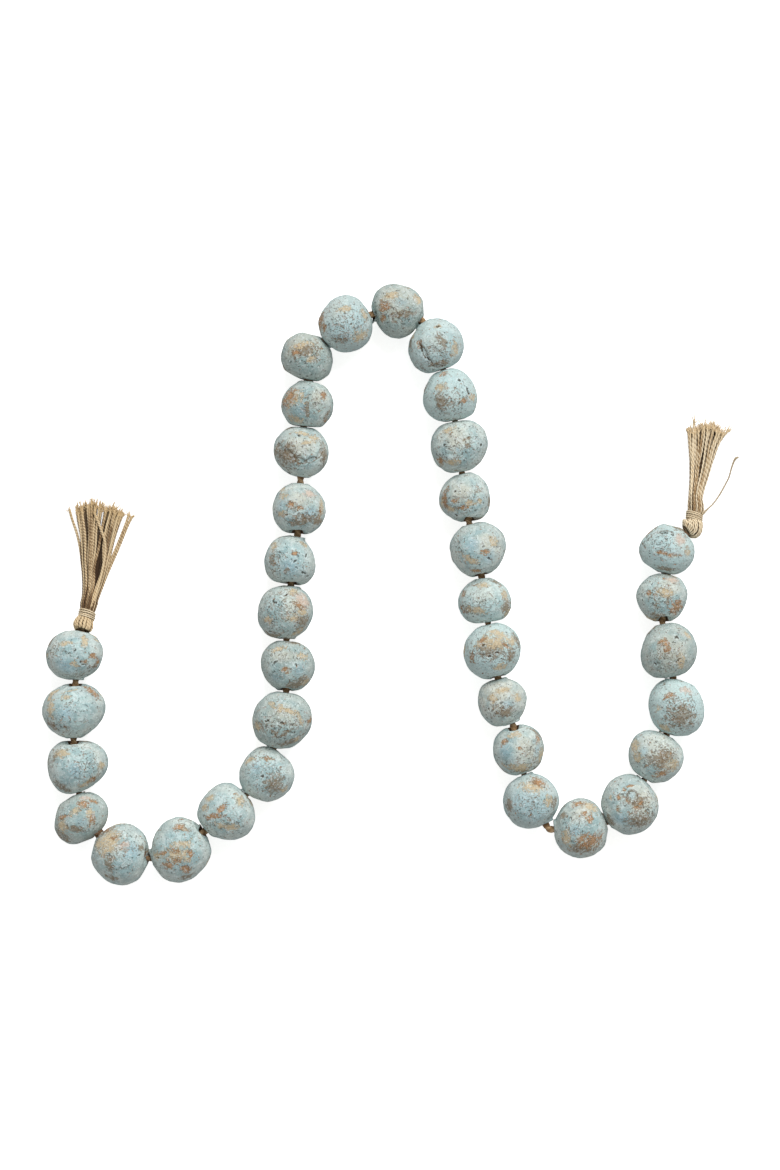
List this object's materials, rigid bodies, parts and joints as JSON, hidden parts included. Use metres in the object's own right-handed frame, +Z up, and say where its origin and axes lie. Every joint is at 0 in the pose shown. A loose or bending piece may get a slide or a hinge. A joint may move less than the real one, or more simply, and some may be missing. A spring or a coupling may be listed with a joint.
{
  "type": "ceramic bead garland",
  "caption": "Hand-rolled pale blue ceramic beads strung on a jute cord, with a bound jute tassel at each end, laid flat in loose waves as a shelf or table garland.",
  "frame": {"origin": "on the surface that the garland lies on, under the middle of its box", "axes": "+Z up out of that surface, +X along the longer side of the waves, +Y towards the tassels' tips"},
  "size_m": [0.4025, 0.347, 0.0334],
  "materials": {
    "ceramic": "chalky matte wash over fired clay, with rust and tan stains",
    "cord": "twisted brown jute cord",
    "tassel": "natural twisted jute strands, matte",
    "binding": "natural jute thread, matte"
  },
  "bodies": {
    "root": {"bead_01": "ceramic", "bead_02": "ceramic", "bead_03": "ceramic", "bead_04": "ceramic", "bead_05": "ceramic", "bead_06": "ceramic", "bead_07": "ceramic", "bead_08": "ceramic", "bead_09": "ceramic", "bead_10": "ceramic", "bead_11": "ceramic", "bead_12": "ceramic", "bead_13": "ceramic", "bead_14": "ceramic", "bead_15": "ceramic", "bead_16": "ceramic", "bead_17": "ceramic", "bead_18": "ceramic", "bead_19": "ceramic", "bead_20": "ceramic", "bead_21": "ceramic", "bead_22": "ceramic", "bead_23": "ceramic", "bead_24": "ceramic", "bead_25": "ceramic", "bead_26": "ceramic", "bead_27": "ceramic", "bead_28": "ceramic", "bead_29": "ceramic", "bead_30": "ceramic", "bead_31": "ceramic", "bead_32": "ceramic", "bead_33": "ceramic", "bead_34": "ceramic", "bead_35": "ceramic", "stringing_cord": "cord", "tassel_left": "tassel", "tassel_right": "tassel", "binding_left": "binding", "binding_right": "binding"}
  },
  "joints": []
}
